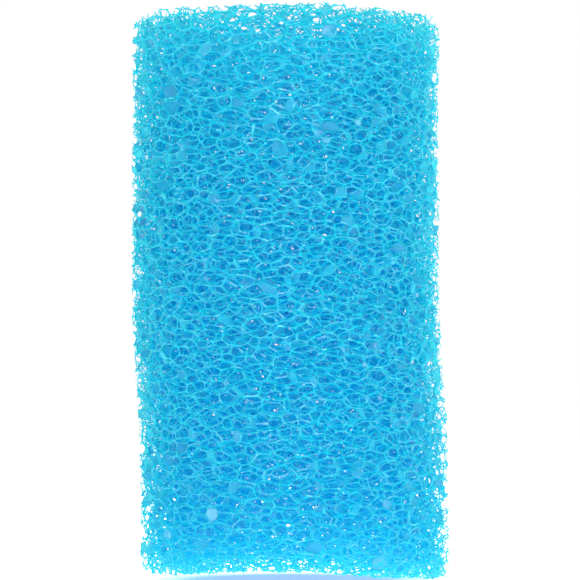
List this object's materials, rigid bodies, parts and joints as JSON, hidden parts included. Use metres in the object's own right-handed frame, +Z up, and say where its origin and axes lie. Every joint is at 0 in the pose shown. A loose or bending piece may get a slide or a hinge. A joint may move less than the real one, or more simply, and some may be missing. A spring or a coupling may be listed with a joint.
{
  "type": "foam filter sleeve",
  "caption": "Upright open-cell foam tube that slips over a filter strainer or media basket, rolled from one sheet and bonded along a back seam.",
  "frame": {"origin": "on the tube's axis, at its lower end", "axes": "+Z up along the tube's axis, -Y towards the front, +Y towards the seam at the back"},
  "size_m": [0.082, 0.082, 0.15],
  "materials": {
    "reticulated_foam": "open-cell polyurethane foam with glossy struts",
    "cured_adhesive": "satin flexible adhesive"
  },
  "bodies": {
    "root": {"foam_wrap": "reticulated_foam", "seam_bond": "cured_adhesive"}
  },
  "joints": []
}
